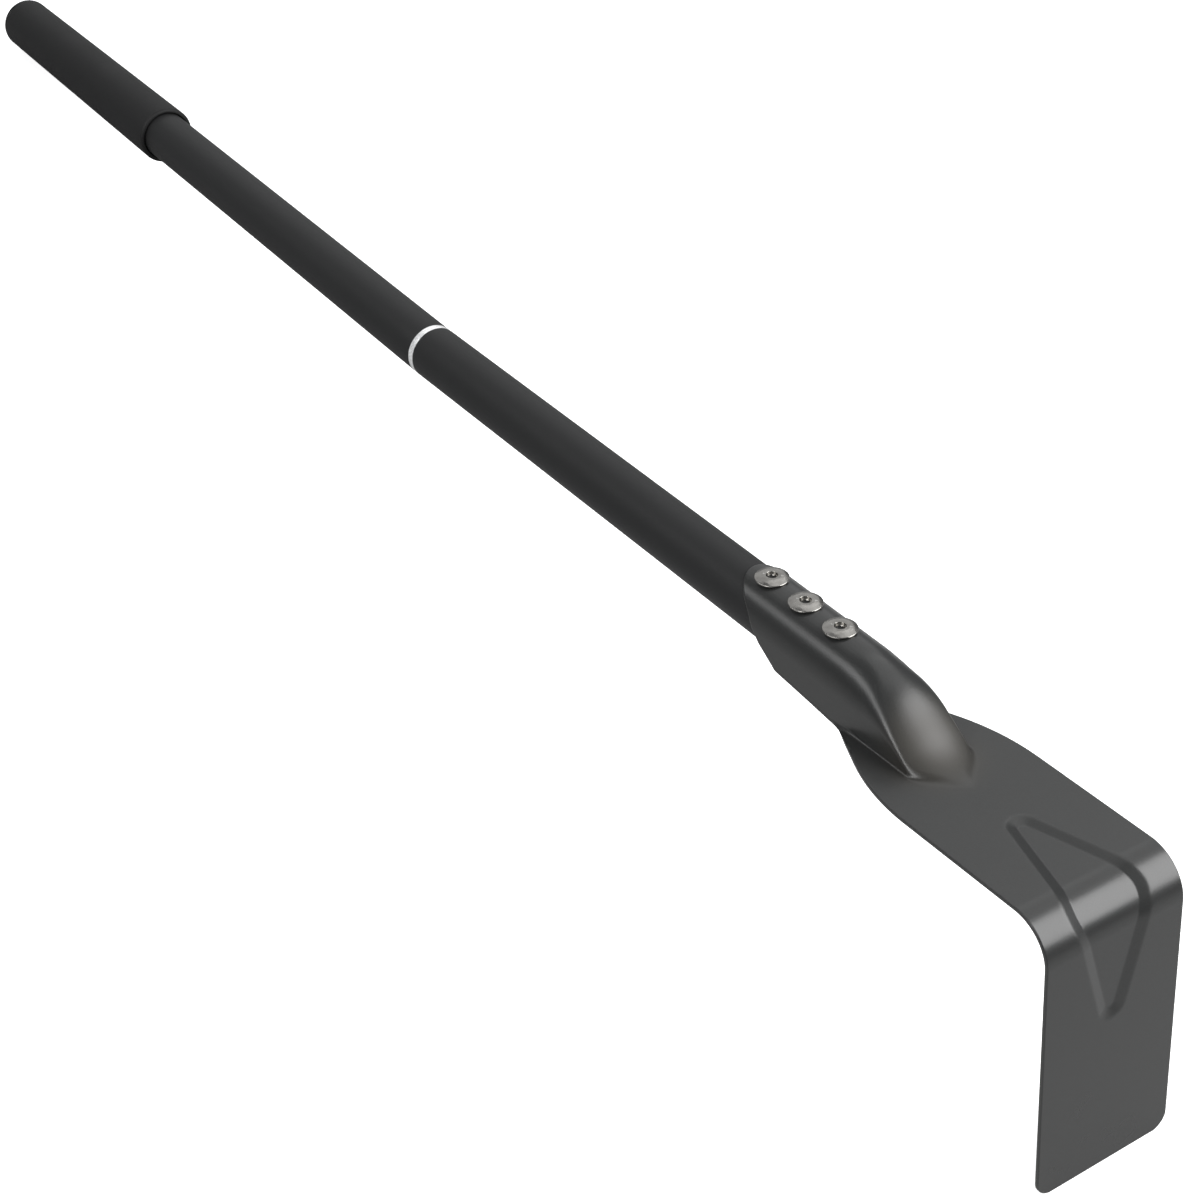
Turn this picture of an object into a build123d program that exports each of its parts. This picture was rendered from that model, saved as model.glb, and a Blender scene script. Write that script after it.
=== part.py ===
from build123d import *
import math
import os

# Draw hoe: a pressed steel head riveted over a two-piece tubular shaft with a sleeve grip.
# Millimetres. It is drawn in the head's own frame first: the plate's outer face is z = 0, the
# sharp corner of the bend is y = 0, and +Y runs up the shaft. place_at_rest() then lays the tool
# on the ground, on its blade edge and the end of its grip.

# Sheet metal of the head
sheet = 2.0
blade_width = 75.0
blade_drop = 145.0
blade_lean = 2.4
bend_radius = 21.0
blade_corner_radius = 8.0

# Plan outline of the plate: full width, then shoulders that close in to the neck
plate_length = 112.0
shoulder_radius = 115.0
neck_length = 48.0
neck_radius = 30.0

# Shaft tubes
shaft_radius = 15.0
shaft_wall = 1.5
shaft_rise = 1.3
shaft_foot_gap = 1.0
axis_setback = 10.0
joint_station = 390.0
joint_kink = 1.67
upper_length = 577.0

# Socket and nose of the head
socket_clearance = 0.1
nose_slope = 38.0
nose_overlap = 4.2
crest_radius = 40.0
foot_radius = 70.0
neck_straight = 3.0
mouth_rake = 37.0
mouth_bottom_z = 2.0
mouth_margin = 12.6
mouth_heel_radius = 12.0
hem_overlap = 5.0

# Diamond stiffener pressed into the bend
stiffener_depth = 1.5
stiffener_half_width = 19.5
stiffener_plate_reach = 68.0
stiffener_blade_reach = 72.0
stiffener_tip_radius = 5.0
stiffener_wall = 1.5

# Joint between the tubes
ring_width = 4.5
sleeve_clearance = 0.1
sleeve_wall = 2.0
sleeve_reach = 60.0

# Grip and its end cap
grip_length = 232.0
grip_fit = 0.1
grip_front_wall = 3.2
grip_end_wall = 2.2
grip_rim_radius = 2.0
cap_flange = 5.0
cap_round = 3.5
plug_length = 20.0

# Blind rivets
rivet_count = 3
rivet_first = 29.2
rivet_pitch = 25.1
rivet_flange_radius = 8.25
rivet_flange_edge = 0.7
rivet_crown = 1.9
rivet_dome_sag = 0.25
rivet_shank_radius = 3.2
rivet_hole_clearance = 0.1
rivet_bulb_spread = 1.4
rivet_bulb_length = 7.0
rivet_bulb_shoulder = 1.2
rivet_mouth_spread = 0.8
mandrel_radius = 1.8
mandrel_clearance = 0.1
mandrel_head_spread = 1.2
mandrel_head_length = 2.4
mandrel_break_depth = 1.0

# Sizes that follow from the ones above
socket_inner_radius = shaft_radius + socket_clearance
socket_outer_radius = socket_inner_radius + sheet
sleeve_radius = shaft_radius - shaft_wall - sleeve_clearance
neck_y = plate_length + neck_length
axis_y = neck_y - axis_setback
nose_foot_y = plate_length - nose_overlap
wall_foot_y = neck_y + neck_straight
mouth_top_y = axis_y + rivet_first + (rivet_count - 1) * rivet_pitch + mouth_margin
mouth_bottom_y = mouth_top_y - mouth_rake
grip_start = upper_length - grip_length
grip_front_radius = shaft_radius + grip_fit + grip_front_wall
grip_end_radius = shaft_radius + grip_fit + grip_end_wall
tool_end = upper_length + cap_flange
rivet_bulb_radius = rivet_shank_radius + rivet_bulb_spread
rivet_mouth_radius = mandrel_radius + mandrel_clearance + rivet_mouth_spread
mandrel_head_radius = mandrel_radius + mandrel_head_spread

# How far the drawing's own blocks run past what they shape
front_reach = 30.0
blade_spare = 20.0
far = 400.0


def direction(angle):
    """Unit step in the YZ plane, angle degrees above +Y."""
    return Vector(0, math.cos(math.radians(angle)), math.sin(math.radians(angle)))


lower_axis = direction(shaft_rise)
lower_normal = direction(shaft_rise + 90)
upper_axis = direction(shaft_rise + joint_kink)
axis_origin = Vector(0, axis_y, shaft_radius)
joint_point = axis_origin + lower_axis * joint_station
blade_down = Vector(0, -math.sin(math.radians(blade_lean)), -math.cos(math.radians(blade_lean)))
blade_inward = Vector(0, math.cos(math.radians(blade_lean)), -math.sin(math.radians(blade_lean)))
blade_edge = blade_down * blade_drop


def lower_plane(station):
    """Plane square to the lower tube, station mm up from the axis origin."""
    return Plane(axis_origin + lower_axis * station, x_dir=(-1, 0, 0), z_dir=lower_axis)


def upper_plane(station):
    """Plane square to the upper tube, station mm up from the joint."""
    return Plane(joint_point + upper_axis * station, x_dir=(-1, 0, 0), z_dir=upper_axis)


def tube(plane, outer, inner, length):
    solid = extrude(plane * Circle(outer), length)
    return solid - extrude(plane * Circle(inner), length)


def rounded_face(points, rounds):
    """Flat polygon with some corners rounded; rounds holds (corner, radius) pairs."""
    face = make_face(Polyline(*points, close=True))
    for corner, radius in rounds:
        face = fillet(face.vertices().sort_by_distance((*corner, 0))[0], radius)
    return face


def side_prism(points, half_width, rounds=()):
    """Prism across the tool from a side-view polygon of (y, z) points."""
    plane = Plane((-half_width, 0, 0), x_dir=(0, 1, 0), z_dir=(1, 0, 0))
    return extrude(plane * rounded_face(points, rounds), 2 * half_width)


def plan_prism(points, rounds=()):
    """Tall column from a plan-view polygon of (x, y) points."""
    return extrude(Plane((0, 0, -far)) * rounded_face(points, rounds), 2 * far)


def front_prism(points, rounds=()):
    """Long column from a front-view polygon of (x, z) points."""
    plane = Plane((0, far, 0), x_dir=(1, 0, 0), z_dir=(0, -1, 0))
    return extrude(plane * rounded_face(points, rounds), 2 * far)


def line_crossing(point_a, angle_a, point_b, angle_b):
    """Where two lines in the side view cross, each given by a (y, z) point and a slope angle."""
    ya, za = math.cos(math.radians(angle_a)), math.sin(math.radians(angle_a))
    yb, zb = math.cos(math.radians(angle_b)), math.sin(math.radians(angle_b))
    dy, dz = point_b[0] - point_a[0], point_b[1] - point_a[1]
    step = (dy * zb - dz * yb) / (ya * zb - za * yb)
    return (point_a[0] + step * ya, point_a[1] + step * za)


def bent_layer(depth_from, depth_to):
    """L-shaped layer of plate and blade between two depths under the outer face, before trimming."""
    corners = []
    for depth in (depth_from, depth_to):
        below = blade_inward * depth
        corners.append(line_crossing((0, -depth), 0, (below.Y, below.Z), 90 - blade_lean))
    tip = blade_down * (blade_drop + blade_spare)
    outer_tip = tip + blade_inward * depth_from
    inner_tip = tip + blade_inward * depth_to
    points = [(far, -depth_from), corners[0], (outer_tip.Y, outer_tip.Z)]
    points += [(inner_tip.Y, inner_tip.Z), corners[1], (far, -depth_to)]
    rounds = [(corners[0], bend_radius - depth_from), (corners[1], bend_radius - depth_to)]
    return side_prism(points, blade_width / 2, rounds)


def plan_outline():
    """Column that holds the plate's outline: blade width, shoulders and neck."""
    half = blade_width / 2
    neck = socket_outer_radius
    points = [(half, -far), (half, plate_length), (neck, neck_y), (neck, wall_foot_y + hem_overlap)]
    points += [(-x, y) for x, y in reversed(points)]
    rounds = [((side * half, plate_length), shoulder_radius) for side in (1, -1)]
    rounds += [((side * neck, neck_y), neck_radius) for side in (1, -1)]
    return plan_prism(points, rounds)


def nose_lines(inset):
    """Corners of the side view's top line, inset mm inside the outer face."""
    crown = axis_origin + lower_normal * (socket_outer_radius - inset)
    slope_foot = (nose_foot_y + inset * math.sin(math.radians(nose_slope)),
                  -inset * math.cos(math.radians(nose_slope)))
    crest = line_crossing((crown.Y, crown.Z), shaft_rise, slope_foot, nose_slope)
    foot = line_crossing((0, -inset), 0, slope_foot, nose_slope)
    back = line_crossing((crown.Y, crown.Z), shaft_rise, (far, 0), 90)
    return back, crest, foot


def nose_rounds(crest, foot, inset):
    return [(crest, crest_radius - inset), (foot, foot_radius + inset)]


def channel(radius):
    """Solid form of a channel along the lower tube: a half-round back over straight walls."""
    profile = Circle(radius) + Pos(0, -far / 2) * Rectangle(2 * radius, far)
    return extrude(lower_plane(-far / 2) * profile, far)


def socket_outside():
    """Outer form of the nose and socket, down to the plate's underside and the mouth's cut."""
    back, crest, foot = nose_lines(0)
    front = (foot[0] - front_reach, 0)
    mouth_top = line_crossing(crest, shaft_rise, (mouth_top_y, 0), 90)
    points = [front, foot, crest, mouth_top, (mouth_bottom_y, mouth_bottom_z)]
    points += [(wall_foot_y, -sheet), (front[0], -sheet)]
    rounds = nose_rounds(crest, foot, 0) + [((mouth_bottom_y, mouth_bottom_z), mouth_heel_radius)]
    block = side_prism(points, 2 * socket_outer_radius, rounds)
    return block & channel(socket_outer_radius)


def socket_inside():
    """Hollow under the nose and through the socket, open below."""
    back, crest, foot = nose_lines(sheet)
    front = (foot[0] - front_reach, -sheet)
    points = [front, foot, crest, back, (back[0], -far), (front[0], -far)]
    block = side_prism(points, 2 * socket_outer_radius, nose_rounds(crest, foot, sheet))
    return block & channel(socket_inner_radius)


def stiffener_column(grow):
    """Diamond column over the bend: a wedge in plan crossed with a wedge in front view."""
    half = stiffener_half_width + grow
    plate_tip = stiffener_plate_reach + grow
    blade_tip = stiffener_blade_reach + grow
    in_plan = [(half, 0), (half, -far), (-half, -far), (-half, 0), (0, plate_tip)]
    plan = plan_prism(in_plan, [((0, plate_tip), stiffener_tip_radius)])
    in_front = [(half, 0), (half, far), (-half, far), (-half, 0), (0, -blade_tip)]
    front = front_prism(in_front, [((0, -blade_tip), stiffener_tip_radius)])
    return plan & front


def rivet_stations():
    return [rivet_first + index * rivet_pitch for index in range(rivet_count)]


def rivet_plane(station, height=0.0):
    """Plane across a rivet's own axis, height mm out from the tube's centre line."""
    origin = axis_origin + lower_axis * station + lower_normal * height
    return Plane(origin, x_dir=(1, 0, 0), z_dir=lower_normal)


def rivet_holes():
    radius = rivet_shank_radius + rivet_hole_clearance
    return [extrude(rivet_plane(station) * Circle(radius), far) for station in rivet_stations()]


def make_hoe_head():
    body = bent_layer(0, sheet) & plan_outline()
    body = body + socket_outside() - socket_inside()
    body = body - (bent_layer(-sheet, stiffener_depth) & stiffener_column(0))
    rib = bent_layer(sheet, sheet + stiffener_depth) & stiffener_column(stiffener_wall)
    body = body + rib - rivet_holes()
    ground = Plane(blade_edge, x_dir=(1, 0, 0), z_dir=direction(90 + rest_pitch()))
    body = split(body, ground, keep=Keep.TOP)
    for side in (1, -1):
        corner = (side * blade_width / 2, blade_edge.Y + sheet / 2, blade_edge.Z)
        body = fillet(body.edges().sort_by_distance(corner)[0], blade_corner_radius)
    return body


def shaft_foot():
    """Station where the tube ends, just up the socket from the rounded crest of the nose."""
    back, crest, foot = nose_lines(sheet)
    bend_length = (crest_radius - sheet) * math.tan(math.radians(nose_slope - shaft_rise) / 2)
    return crest[0] + bend_length + shaft_foot_gap - axis_y


def make_lower_shaft():
    foot = shaft_foot()
    length = joint_station - ring_width / 2 - foot
    body = tube(lower_plane(foot), shaft_radius, shaft_radius - shaft_wall, length)
    return body - rivet_holes()


def make_upper_shaft():
    start = ring_width / 2
    return tube(upper_plane(start), shaft_radius, shaft_radius - shaft_wall, upper_length - start)


def mitred_tube(outer, inner, reach):
    """Tube that crosses the joint and turns with it, reach mm each way."""
    mitre = Plane(joint_point, x_dir=(1, 0, 0), z_dir=direction(shaft_rise + joint_kink / 2))
    below = tube(lower_plane(joint_station - reach), outer, inner, 2 * reach)
    above = tube(upper_plane(-reach), outer, inner, 2 * reach)
    return split(below, mitre, keep=Keep.BOTTOM) + split(above, mitre, keep=Keep.TOP)


def make_joint_ring():
    return mitred_tube(shaft_radius, sleeve_radius + sleeve_clearance, ring_width / 2)


def make_joint_sleeve():
    return mitred_tube(sleeve_radius, sleeve_radius - sleeve_wall, sleeve_reach)


def make_grip_sleeve():
    bore = shaft_radius + grip_fit
    profile = [(bore, 0), (grip_front_radius, 0), (grip_end_radius, grip_length), (bore, grip_length)]
    face = make_face(Polyline(*profile, close=True))
    rim = face.vertices().sort_by_distance((grip_front_radius, 0, 0))[0]
    face = fillet(rim, grip_rim_radius)
    turned = revolve(Plane.XZ * face, Axis.Z)
    return upper_plane(grip_start).location * turned


def make_grip_cap():
    plug = shaft_radius - shaft_wall - grip_fit
    profile = [(0, -plug_length), (plug, -plug_length), (plug, 0), (grip_end_radius, 0)]
    profile += [(grip_end_radius, cap_flange), (0, cap_flange)]
    face = make_face(Polyline(*profile, close=True))
    rim = face.vertices().sort_by_distance((grip_end_radius, cap_flange, 0))[0]
    face = fillet(rim, cap_round)
    turned = revolve(Plane.XZ * face, Axis.Z)
    return upper_plane(upper_length).location * turned


def rivet_heights():
    """Heights along a rivet: flange seat, crown, where the bulb starts and where the body ends."""
    seat = socket_outer_radius
    crown = seat + rivet_crown
    bore = shaft_radius - shaft_wall
    under_wall = math.sqrt(bore ** 2 - rivet_bulb_radius ** 2) - rivet_hole_clearance
    tail = under_wall - rivet_bulb_length
    return seat, crown, under_wall, tail


def make_rivet_body(station):
    seat, crown, under_wall, tail = rivet_heights()
    bore = mandrel_radius + mandrel_clearance
    shank = rivet_shank_radius
    flange_top = (rivet_flange_radius, seat + rivet_flange_edge)
    dome = SagittaArc(flange_top, (rivet_mouth_radius, crown), rivet_dome_sag)
    rest = Polyline((rivet_mouth_radius, crown), (bore, crown - mandrel_break_depth), (bore, tail),
                    (shank, tail), (rivet_bulb_radius, tail + rivet_bulb_shoulder),
                    (rivet_bulb_radius, under_wall - rivet_bulb_shoulder), (shank, under_wall),
                    (shank, seat), (rivet_flange_radius, seat), flange_top)
    turned = revolve(Plane.XZ * make_face(dome + rest), Axis.Z)
    return rivet_plane(station).location * turned


def make_rivet_mandrel(station):
    seat, crown, under_wall, tail = rivet_heights()
    stem = extrude(rivet_plane(station, tail) * Circle(mandrel_radius), crown - mandrel_break_depth - tail)
    head = extrude(rivet_plane(station, tail) * Circle(mandrel_head_radius), -mandrel_head_length)
    return stem + head


def rest_pitch():
    """Angle that lays the blade's edge and the cap's rounded end on one level."""
    centre = joint_point + upper_axis * (tool_end - cap_round)
    centre = centre - direction(shaft_rise + joint_kink + 90) * (grip_end_radius - cap_round)
    reach = centre - blade_edge
    rise = math.degrees(math.atan2(reach.Z, reach.Y))
    return rise - math.degrees(math.asin(cap_round / reach.length))


def make_parts():
    parts = {
        "hoe_head": make_hoe_head(),
        "lower_shaft": make_lower_shaft(),
        "upper_shaft": make_upper_shaft(),
        "joint_ring": make_joint_ring(),
        "joint_sleeve": make_joint_sleeve(),
        "grip_sleeve": make_grip_sleeve(),
        "grip_end_cap": make_grip_cap(),
    }
    for number, station in enumerate(rivet_stations(), start=1):
        parts[f"rivet_body_{number}"] = make_rivet_body(station)
        parts[f"rivet_mandrel_{number}"] = make_rivet_mandrel(station)
    return parts


def place_at_rest(parts):
    """Turn the tool onto its edge and grip, and centre it over the origin."""
    turn = Rot(-rest_pitch(), 0, 0)
    turned = {name: turn * solid for name, solid in parts.items()}
    box = Compound(children=[Compound([solid]) for solid in turned.values()]).bounding_box()
    floor = (turn * Pos(*blade_edge)).position.Z
    middle = (box.min.Y + box.max.Y) / 2
    return {name: Pos(0, -middle, -floor) * solid for name, solid in turned.items()}, (middle, floor)


os.makedirs("parts", exist_ok=True)
placed, shift = place_at_rest(make_parts())
for name, solid in placed.items():
    export_step(solid, f"parts/{name}.step")
print("rest pitch", round(rest_pitch(), 3), "shift", shift)
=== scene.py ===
import math

import bmesh
import bpy
import numpy as np
from mathutils import Matrix, Vector


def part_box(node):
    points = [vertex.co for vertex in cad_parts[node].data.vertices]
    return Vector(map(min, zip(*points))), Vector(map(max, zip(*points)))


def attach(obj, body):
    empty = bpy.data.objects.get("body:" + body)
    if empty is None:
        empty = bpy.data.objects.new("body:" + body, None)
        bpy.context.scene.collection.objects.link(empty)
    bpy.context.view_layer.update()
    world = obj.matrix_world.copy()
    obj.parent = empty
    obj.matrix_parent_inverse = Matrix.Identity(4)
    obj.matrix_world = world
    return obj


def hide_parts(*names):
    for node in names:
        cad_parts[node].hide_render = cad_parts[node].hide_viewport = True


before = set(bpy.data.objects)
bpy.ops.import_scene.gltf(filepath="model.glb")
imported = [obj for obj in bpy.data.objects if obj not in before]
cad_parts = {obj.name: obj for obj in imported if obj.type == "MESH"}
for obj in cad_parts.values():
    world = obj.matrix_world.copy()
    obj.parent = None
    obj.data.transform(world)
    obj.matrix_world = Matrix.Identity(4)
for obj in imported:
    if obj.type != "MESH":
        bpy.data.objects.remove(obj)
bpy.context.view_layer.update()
mm = 0.001


def roundedLine(points, radii, arcSteps=16):
    # open line through the points, with each inner corner turned into an arc
    path = [np.array(points[0], float)]
    for before, corner, after, radius in zip(points, points[1:], points[2:], radii):
        before, corner, after = (np.array(p, float) for p in (before, corner, after))
        inDir = (corner - before) / np.linalg.norm(corner - before)
        outDir = (after - corner) / np.linalg.norm(after - corner)
        turn = math.acos(np.clip(inDir @ outDir, -1, 1))
        tangent = radius * math.tan(turn / 2)
        side = math.copysign(1, inDir[0] * outDir[1] - inDir[1] * outDir[0])
        centre = corner - inDir * tangent + side * radius * np.array([-inDir[1], inDir[0]])
        start = corner - inDir * tangent - centre
        for step in range(arcSteps + 1):
            angle = side * turn * step / arcSteps
            c, s = math.cos(angle), math.sin(angle)
            path.append(centre + np.array([c * start[0] - s * start[1], s * start[0] + c * start[1]]))
    path.append(np.array(points[-1], float))
    return np.array(path)


def smoothStep(value, low, high):
    t = np.clip((value - low) / (high - low), 0, 1)
    return t * t * (3 - 2 * t)


def easeBetween(table, value):
    # smooth curve through a short list of (place, size) pairs
    places, sizes = zip(*table)
    if value <= places[0]:
        return sizes[0]
    for index in range(len(places) - 1):
        if value <= places[index + 1]:
            break
    else:
        return sizes[-1]
    width = places[index + 1] - places[index]
    t = (value - places[index]) / width
    slopes = []
    for k in (index, index + 1):
        low, high = max(k - 1, 0), min(k + 1, len(places) - 1)
        slopes.append((sizes[high] - sizes[low]) / (places[high] - places[low]) * width)
    a, b = sizes[index], sizes[index + 1]
    return ((2 * t ** 3 - 3 * t ** 2 + 1) * a + (t ** 3 - 2 * t ** 2 + t) * slopes[0]
            + (3 * t ** 2 - 2 * t ** 3) * b + (t ** 3 - t ** 2) * slopes[1])


def lineCrossing(pointA, angleA, pointB, angleB):
    ya, za = math.cos(math.radians(angleA)), math.sin(math.radians(angleA))
    yb, zb = math.cos(math.radians(angleB)), math.sin(math.radians(angleB))
    dy, dz = pointB[0] - pointA[0], pointB[1] - pointA[1]
    step = (dy * zb - dz * yb) / (ya * zb - za * yb)
    return (pointA[0] + step * ya, pointA[1] + step * za)


shaft = {
    "radius": 15.0,
    "wall": 1.5,
    "rise": 1.3,
    "kink": 1.67,
    "axisStart": 150.0,
    "firstRivet": 29.2,
    "rivetPitch": 25.1,
    "seat": 17.1,
    "mandrelTop": 18.0,
    "jointStation": 390.0,
    "upperLength": 577.0,
    "foot": 13.2,
    "endRound": 0.3,
}


def boxMiddle(node):
    low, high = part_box(node)
    return (low + high) / 2


firstRivet, lastRivet = boxMiddle("rivet_mandrel_1"), boxMiddle("rivet_mandrel_3")
along = lastRivet - firstRivet
toolPitch = math.degrees(math.atan2(along.z, along.y)) - shaft["rise"]


def sideDirection(angle):
    # unit step in the tool's middle plane, from its resting angle
    a = math.radians(angle + toolPitch)
    return Vector((0, math.cos(a), math.sin(a)))


def findOrigin():
    # steps back from the first rivet's mandrel to the sharp corner of the bend
    places = [v.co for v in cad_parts["rivet_mandrel_1"].data.vertices]
    alongTube, acrossTube = sideDirection(shaft["rise"]), sideDirection(shaft["rise"] + 90)
    stations = [p.dot(alongTube) for p in places]
    top = max(p.dot(acrossTube) for p in places)
    station = (min(stations) + max(stations)) / 2 - shaft["firstRivet"] * mm
    start = alongTube * station + acrossTube * (top - shaft["mandrelTop"] * mm)
    return start - sideDirection(0) * shaft["axisStart"] * mm - sideDirection(90) * shaft["radius"] * mm


origin = findOrigin()
upDir, onDir = sideDirection(90), sideDirection(0)
lowerAxis, lowerUp = sideDirection(shaft["rise"]), sideDirection(shaft["rise"] + 90)
upperAxis = sideDirection(shaft["rise"] + shaft["kink"])
upperUp = sideDirection(shaft["rise"] + shaft["kink"] + 90)
axisOrigin = origin + onDir * shaft["axisStart"] * mm + upDir * shaft["radius"] * mm
jointPoint = axisOrigin + lowerAxis * shaft["jointStation"] * mm
print("tool lies at", round(toolPitch, 3), "degrees, origin", [round(v, 5) for v in origin])


def toRow(points):
    # head frame in mm to the shared frame in metres
    points = np.asarray(points, float) * mm
    basis = np.array([[1, 0, 0], list(onDir), list(upDir)])
    return points @ basis + np.array(origin)


def addMesh(name, vertices, faces, smooth=True):
    mesh = bpy.data.meshes.new(name)
    mesh.from_pydata([tuple(v) for v in vertices], [], faces)
    mesh.validate()
    mesh.polygons.foreach_set("use_smooth", [smooth] * len(mesh.polygons))
    piece = bpy.data.objects.new(name, mesh)
    bpy.context.scene.collection.objects.link(piece)
    return piece


def fixNormals(piece):
    bm = bmesh.new()
    bm.from_mesh(piece.data)
    bmesh.ops.remove_doubles(bm, verts=bm.verts, dist=1e-7)
    bmesh.ops.dissolve_degenerate(bm, edges=bm.edges, dist=1e-7)
    bmesh.ops.recalc_face_normals(bm, faces=bm.faces)
    bm.to_mesh(piece.data)
    bm.free()
    return piece


head = {
    "sheet": 2.0,
    "halfWidth": 37.5,
    "drop": 145.0,
    "lean": 2.4,
    "bendRadius": 21.0,
    "cornerRadius": 8.0,
    "plateLength": 112.0,
    "shoulderRadius": 115.0,
    "neckY": 160.0,
    "neckRadius": 30.0,
    "neckHalf": 17.1,
    "noseFoot": 101.8,
    "noseSlope": 38.8,
    "crestRadius": 62.0,
    "footRadius": 44.0,
    "tuckStart": 146.0,
    "wallStart": 163.0,
    "edgeRound": 0.45,
}
# sizes along the nose, as (y, radius)
crownRadius = [(84, 58), (104, 42), (112, 36), (124, 33), (132, 31), (140, 26), (147, 20.5), (153, 17.8),
               (158, 17.1)]
cornerRound = [(84, 17), (97, 15), (103, 11), (107, 7), (111, 4.0), (115, 3.3), (124, 5.2), (130, 7.2),
               (138, 11), (145, 15), (153, 16.9), (158, 17.09)]
creaseRound = [(84, 45), (95, 28), (101, 14), (105, 6.0), (108, 2.8), (112, 1.3), (140, 1.1), (150, 1.6)]
recess = {
    "depth": 1.6,
    "halfWidth": 17.4,
    "taper": 0.285,
    "middleSoft": 5.0,
    "tipRound": 2.6,
    "wallWidth": 5.2,
    "innerSoft": 0.02,
    "outerSoft": 0.09,
}
gridCounts = {"crown": 16, "corner": 11, "wall": 10, "crease": 6, "flange": 17}
flatKnots = [0, 9, 14.5, 19, 23.5]
headMesh = {
    "cornerRows": 9,
    "bendRows": 40,
    "recessReach": 66,
    "bladeRows": 30,
    "recessRows": 74,
    "plateSpans": [(68, 68), (84, 8)],
    "noseSpans": [(104, 18), (128, 40), (head["wallStart"], 36)],
    "socketRows": 56,
    "crownSteps": 14,
    "creaseSteps": 8,
    "socketTilt": 34,
    "socketBlend": (140, 158),
    "noseBlend": (92, 111),
    "mouthBlend": 0.7,
}

bendTurn = math.radians(90 - head["lean"])
bendTangent = head["bendRadius"] * math.tan(bendTurn / 2)
plateOutline = roundedLine([(0, head["halfWidth"]), (head["plateLength"], head["halfWidth"]),
                            (head["neckY"], head["neckHalf"]), (260, head["neckHalf"])],
                           [head["shoulderRadius"], head["neckRadius"]])
tubeSlope = math.tan(math.radians(shaft["rise"]))
crownHeight = shaft["radius"] + head["neckHalf"] + tubeSlope * (head["wallStart"] - shaft["axisStart"])
crownStart = (head["wallStart"], crownHeight)
crestPoint = lineCrossing(crownStart, shaft["rise"], (head["noseFoot"], 0), head["noseSlope"])
crownEnd = lineCrossing(crownStart, shaft["rise"], (260, 0), 90)
topLine = roundedLine([(0, 0), (head["noseFoot"], 0), crestPoint, crownEnd],
                      [head["footRadius"], head["crestRadius"]])
mouthLine = roundedLine([(head["wallStart"], -head["sheet"]), (204.5, 2.4), (217.5, 12.5), (226.0, 24.0),
                         (242.4, 34.3)], [10, 9, 12])
mouthCorner = 1 + 8  # middle of the first arc, where the lower edge meets the mouth


def halfWidthAt(y):
    return float(np.interp(y, plateOutline[:, 0], plateOutline[:, 1]))


def topAt(y):
    return float(np.interp(y, topLine[:, 0], topLine[:, 1]))


def arcPoints(start, radius, fromTilt, toTilt, count):
    # tilt 0 runs outwards, tilt 90 degrees runs straight down; a negative radius bends the other way
    tilts = np.linspace(fromTilt, toTilt, count)
    x = start[0] + radius * (np.sin(tilts) - math.sin(fromTilt))
    z = start[1] - radius * (math.cos(fromTilt) - np.cos(tilts))
    return np.column_stack([x, z])


def noseSection(y):
    # half section at y, from the crown's middle to the sheet's edge, and the lengths where its parts meet
    height, crown, corner = topAt(y), easeBetween(crownRadius, y), easeBetween(cornerRound, y)
    crease = easeBetween(creaseRound, y)
    tuck = head["sheet"] * float(smoothStep(y, head["tuckStart"], head["wallStart"]))
    neck, width = head["neckHalf"], halfWidthAt(y)
    corner = min(corner, crown - 0.01)
    shoulder = math.asin(np.clip((neck - corner) / (crown - corner), 0, 1))
    tail = math.hypot(width - neck, tuck)
    tailTilt = math.atan2(tuck, width - neck) if tail > 1e-6 else math.pi / 2

    def fallTo(tilt):
        first = min(shoulder, tilt)
        fall = crown * (1 - math.cos(first)) + corner * (math.cos(first) - math.cos(tilt))
        return fall + crease * (1 - math.cos(tilt))

    steep = math.pi / 2
    if fallTo(steep) > height:
        low, high = 0.0, steep
        for _ in range(40):
            middle = (low + high) / 2
            low, high = (middle, high) if fallTo(middle) < height else (low, middle)
        steep = low
    first = min(shoulder, steep)
    path = [arcPoints((0, height), crown, 0, first, headMesh["crownSteps"])]
    if steep > first:
        path.append(arcPoints(path[-1][-1], corner, first, steep, headMesh["crownSteps"]))
    cornerEnd = path[-1][-1]
    upright = steep > math.pi / 2 - 1e-3
    if upright:
        turn = (steep - tailTilt) / 2
        crease = min(crease, 0.6 * tail / max(math.tan(turn), 1e-3))
        reach = crease * math.tan(turn)
        foot = np.array([neck, 0.0])
        path.append(np.array([foot + (0, reach)]))
        path.append(arcPoints(path[-1][-1], -crease, steep, tailTilt, headMesh["creaseSteps"]))
        path.append(np.array([[width, -tuck]]))
    else:
        path.append(arcPoints(cornerEnd, -crease, steep, 0, headMesh["creaseSteps"]))
        path.append(np.array([[max(width, path[-1][-1][0] + 0.5), path[-1][-1][1]]]))
    lengthOf = [0]
    for index, part in enumerate(path):
        before = path[index - 1][-1:] if index else part[:1]
        joined = np.vstack([before, part])
        lengthOf.append(lengthOf[-1] + np.linalg.norm(np.diff(joined, axis=0), axis=1).sum())
    socketShare = float(smoothStep(y, *headMesh["socketBlend"]))
    crownTilt = first + (math.radians(headMesh["socketTilt"]) - first) * socketShare
    crownLength = crown * min(crownTilt, first)
    crownLength += corner * max(crownTilt - first, 0)
    ends = lengthOf[-4:] if upright else [lengthOf[-3], lengthOf[-3], lengthOf[-2], lengthOf[-1]]
    knots = [0, min(crownLength, ends[0] * 0.9), ends[0], ends[1], ends[2], ends[3]]
    flat = flatKnots + [knots[-1]]
    blend = 1 - float(smoothStep(y, *headMesh["noseBlend"]))
    knots = [a + (b - a) * blend for a, b in zip(knots, flat)]
    return np.vstack(path), knots


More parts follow.
